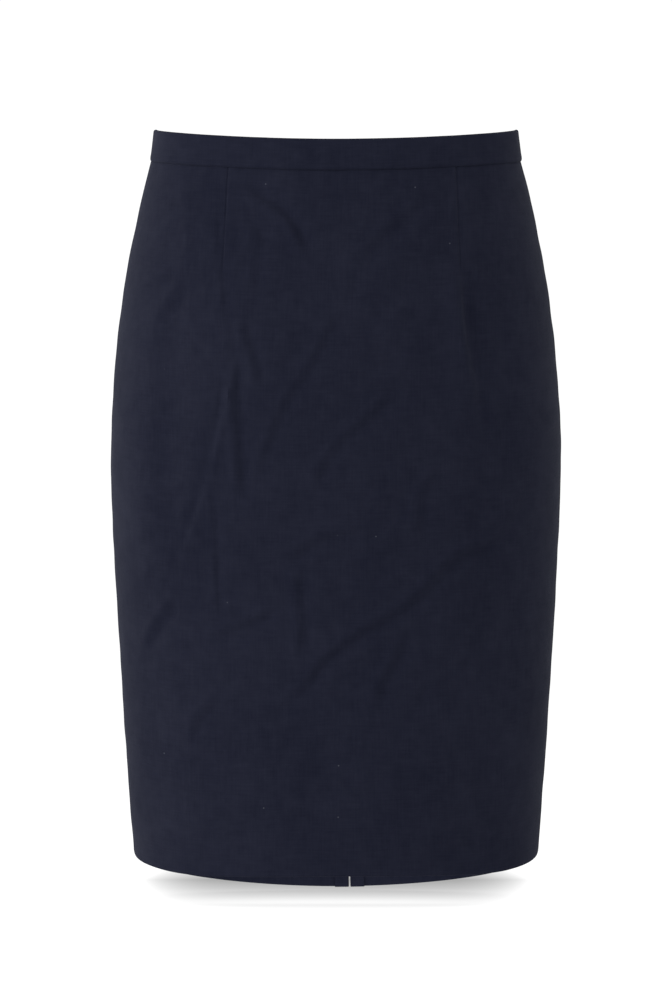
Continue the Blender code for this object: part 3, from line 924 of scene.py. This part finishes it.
# %% One turn of the coil, and its copies
COIL_PITCH, COIL_START = 1.5 * MM, 14.5 * MM
COIL_RADIUS, COIL_WIRE, COIL_TILT = 0.8 * MM, 0.24 * MM, math.radians(18)
COIL_ACROSS = 0.9 * MM
COIL_DEPTH = TAPE_DEPTH + TAPE_CLOTH + 0.75 * MM
STOP_SIZE, STOP_UP = (5.0 * MM, 1.6 * MM, 3.4 * MM), 2.6 * MM
ORIGIN = (0, 0, 0)


def select_only(*objects):
    bpy.ops.object.select_all(action="DESELECT")
    for obj in objects:
        obj.select_set(True)
    bpy.context.view_layer.objects.active = objects[0]


def join(name, parts):
    select_only(*parts)
    bpy.ops.object.join()
    bpy.context.object.name = name
    return bpy.context.object


def copies_along(model, frames):
    """A copy of the model in each frame, with its place in its own mesh. The model is removed."""
    made = []
    for frame_here in frames:
        copy = model.copy()
        copy.data = model.data.copy()
        copy.data.transform(frame_here)
        bpy.context.collection.objects.link(copy)
        made.append(copy)
    bpy.data.objects.remove(model)
    return made


bpy.ops.object.select_all(action="DESELECT")
bpy.ops.mesh.primitive_torus_add(
    major_radius=COIL_RADIUS, minor_radius=COIL_WIRE, major_segments=10, minor_segments=5)
turn_of_coil = bpy.context.object
bpy.ops.object.mode_set(mode="EDIT")
bpy.ops.transform.resize(value=(1.5, 0.7, 1.0))
bpy.ops.transform.rotate(value=COIL_TILT, orient_axis="Y", center_override=ORIGIN)
bpy.ops.object.mode_set(mode="OBJECT")
bpy.ops.object.shade_smooth()
nylon = Finish("zip_coil", Base_Color=(0.012, 0.014, 0.028, 1), Roughness=0.35)
nylon.feed(Normal=nylon.bump(nylon.object_noise(900, 2), 0.03 * MM, 0.4))
turn_of_coil.data.materials.append(nylon.material)

frames = []
for side in (-1, 1):
    first = COIL_START + (COIL_PITCH / 2 if side > 0 else 0)
    for run in np.arange(first, ZIP_LENGTH - 4 * MM, COIL_PITCH):
        frames.append(zip_frame(run, side, COIL_ACROSS, COIL_DEPTH))
coil = join("coil", copies_along(turn_of_coil, frames))

bpy.ops.object.select_all(action="DESELECT")
bpy.ops.mesh.primitive_cube_add(size=1)
stop = bpy.context.object
bpy.ops.object.mode_set(mode="EDIT")
bpy.ops.transform.resize(value=STOP_SIZE)
bpy.ops.mesh.bevel(offset=0.5 * MM, segments=3, affect="EDGES")
bpy.ops.object.mode_set(mode="OBJECT")
stop.data.transform(zip_frame(ZIP_LENGTH - STOP_UP, 1, 0.0, COIL_DEPTH))
stop.data.materials.append(nylon.material)
coil = join("coil", [coil, stop])
print("coil:", len(frames), "turns,", len(coil.data.polygons), "faces")

# %% [markdown]
# ## Slider and pull
# The slider and its pull are small castings lacquered dark blue. Their solids have the right
# sizes and sharp edges, so a copy of each gets its edges rounded by a bevel. The pull stays on
# its own body, whose bar turns in the slider's ring.

# %% Slider and pull
SLIDER_EDGE, PULL_EDGE = 0.12 * MM, 0.2 * MM
DARK_BLUE = (0.016, 0.019, 0.036, 1)

lacquer = Finish("zip_lacquer", Base_Color=DARK_BLUE, Metallic=0.55, Coat_Weight=0.35)
wear = lacquer.object_noise(420, 3, 0.6)
lacquer.feed(Roughness=0.3 + wear * 0.18, Normal=lacquer.bump(wear, 0.04 * MM, 0.25))


def rounded_copy(name, node, radius):
    solid = bpy.data.objects[node]
    made = solid.copy()
    made.data = solid.data.copy()
    made.name = name
    bpy.context.collection.objects.link(made)
    made.data.materials.clear()
    made.data.materials.append(lacquer.material)
    select_only(made)
    bpy.ops.object.mode_set(mode="EDIT")
    bpy.ops.mesh.select_all(action="SELECT")
    bpy.ops.mesh.remove_doubles(threshold=0.01 * MM)
    bpy.ops.mesh.dissolve_limited(angle_limit=math.radians(2))
    bpy.ops.mesh.normals_make_consistent(inside=False)
    bpy.ops.object.mode_set(mode="OBJECT")
    edge = made.modifiers.new("edge", "BEVEL")
    edge.width, edge.segments = radius, 2
    edge.limit_method, edge.angle_limit = "ANGLE", math.radians(38)
    bpy.ops.object.modifier_apply(modifier="edge")
    bpy.ops.object.shade_smooth_by_angle(angle=math.radians(40))
    return made


slider = rounded_copy("slider", "zip_slider", SLIDER_EDGE)
pull = rounded_copy("pull", "zip_pull", PULL_EDGE)
print("slider:", len(slider.data.polygons), "faces, pull:", len(pull.data.polygons))

# %% [markdown]
# ## The hem's stitches
# The hem is turned up and held by blind stitches: short slanting threads over the raw edge,
# seen only from inside. One is modelled as a thin rod whose ends are pushed into the cloth.

# %% Hem stitches
STITCH_SPACING = 7.0 * MM
STITCH_RADIUS, STITCH_LENGTH, STITCH_SLANT = 0.17 * MM, 4.4 * MM, math.radians(32)
STITCH_INWARD = HEM_UNDER[-1][1] * MM + CLOTH
STITCHES_DOWN = 1 - HEM_TURN_UP * MM / SIDE_LENGTH
FIRST_STITCH, LAST_STITCH = 14 * MM, 12 * MM
thread = Finish("thread", Base_Color=(0.014, 0.016, 0.030, 1), Roughness=0.6)
thread.feed(Normal=thread.bump(thread.object_noise(3000, 2), 0.05 * MM, 0.6))


def add_stitch():
    bpy.ops.object.select_all(action="DESELECT")
    bpy.ops.mesh.primitive_cylinder_add(vertices=6, radius=STITCH_RADIUS, depth=STITCH_LENGTH)
    stitch = bpy.context.object
    bpy.ops.object.mode_set(mode="EDIT")
    bpy.ops.mesh.bevel(offset=0.08 * MM, segments=1, affect="EDGES")
    bpy.ops.transform.rotate(value=STITCH_SLANT, orient_axis="Y", center_override=ORIGIN)
    bpy.ops.object.mode_set(mode="OBJECT")
    stitch.data.materials.append(thread.material)
    bpy.ops.object.shade_smooth()
    return stitch


def hem_frame(angle):
    here = Vector(bare_face(angle, STITCHES_DOWN))
    out = Vector(outward(angle, STITCHES_DOWN))
    sideways = Vector((0, 0, 1)).cross(out).normalized()
    place = Matrix.Translation(here - out * STITCH_INWARD)
    return place @ Matrix((sideways, out, sideways.cross(out))).transposed().to_4x4()


def add_hem_stitches(name, first, last):
    fan = np.linspace(first, last, 400)
    reached = lengths_along(bare_face(fan, STITCHES_DOWN))
    places = np.arange(FIRST_STITCH, reached[-1] - LAST_STITCH, STITCH_SPACING)
    angles = np.interp(places, reached, fan)
    return join(name, copies_along(add_stitch(), [hem_frame(float(angle)) for angle in angles]))


stitches = [
    add_hem_stitches("hem_stitches_front", -SIDE_SEAM, SIDE_SEAM),
    add_hem_stitches("hem_stitches_left", SIDE_SEAM, back_line(1)(STITCHES_DOWN)),
    add_hem_stitches("hem_stitches_right", back_line(-1)(STITCHES_DOWN), -SIDE_SEAM),
]
print("hem stitches:", [len(row.data.polygons) for row in stitches], "faces")

# %% [markdown]
# ## Attaching the pieces
# Each piece is attached to the body that carries it, and the solid it stands in for is hidden.
# For cloth, the area of its sheet is printed.

# %% Attach the pieces
for piece, node in ((front, "front_panel"), (back_left, "back_panel_left"),
                    (back_right, "back_panel_right"), (band, "waistband")):
    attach(piece, "skirt")
    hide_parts(node)
for piece, node in ((tape_left, "zip_tape_left"), (tape_right, "zip_tape_right")):
    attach(piece, "skirt")
    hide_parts(node)
for piece in stitches:
    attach(piece, "skirt")
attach(coil, "skirt")
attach(slider, "skirt")
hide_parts("zip_slider")
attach(pull, "zip_pull")
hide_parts("zip_pull")

for piece in (front, back_left, back_right, band, tape_left, tape_right):
    area = sum(face.area for face in piece.data.polygons) / 2
    print(piece.name, "cloth area in square metres:", round(area, 4))

# %% [markdown]
# ## Floor
# The skirt hovers a few millimetres above a pale floor. A white floor would throw light up into
# the creases, so this one is grey, its light is kept off the cloth, and it glows by itself. The
# glow is dimmest just behind the hem and grows away from it, until it is as white as the
# surround, so the shadow under the skirt is mostly drawn by the glow.

# %% Floor
FLOOR_GAP = 3 * MM
SHADOW_HALF_WIDTH, SHADOW_REACH, SHADOW_BACK = 0.166, 0.36, 0.23
FLOOR_GREY, SHADOW_GLOW, OPEN_GLOW = [(grey, grey, grey, 1) for grey in (0.2, 0.24, 0.98)]

bpy.ops.object.select_all(action="DESELECT")
bpy.ops.mesh.primitive_plane_add(size=5, location=(0, 0, skirt_low.z - FLOOR_GAP))
floor = bpy.context.object
floor.name = "floor"
pale = Finish("pale_floor", Base_Color=FLOOR_GREY, Roughness=0.9, Specular_IOR_Level=0.0)
place = pale.node("ShaderNodeTexCoord", output="Object")
floor_x = pale.node("ShaderNodeSeparateXYZ", None, {0: place}, output="X")
floor_y = pale.node("ShaderNodeSeparateXYZ", None, {0: place}, output="Y")
across = floor_x * floor_x / SHADOW_HALF_WIDTH**2
toward = (floor_y - SHADOW_BACK) / SHADOW_REACH
toward = toward.maths("ABSOLUTE", toward)
away = across * across * across + toward
glow = pale.mix(away.above(0.0, 1.0), SHADOW_GLOW, OPEN_GLOW)
pale.feed(Emission_Color=glow, Emission_Strength=1.0)
floor.data.materials.append(pale.material)
floor.visible_diffuse = floor.visible_glossy = False
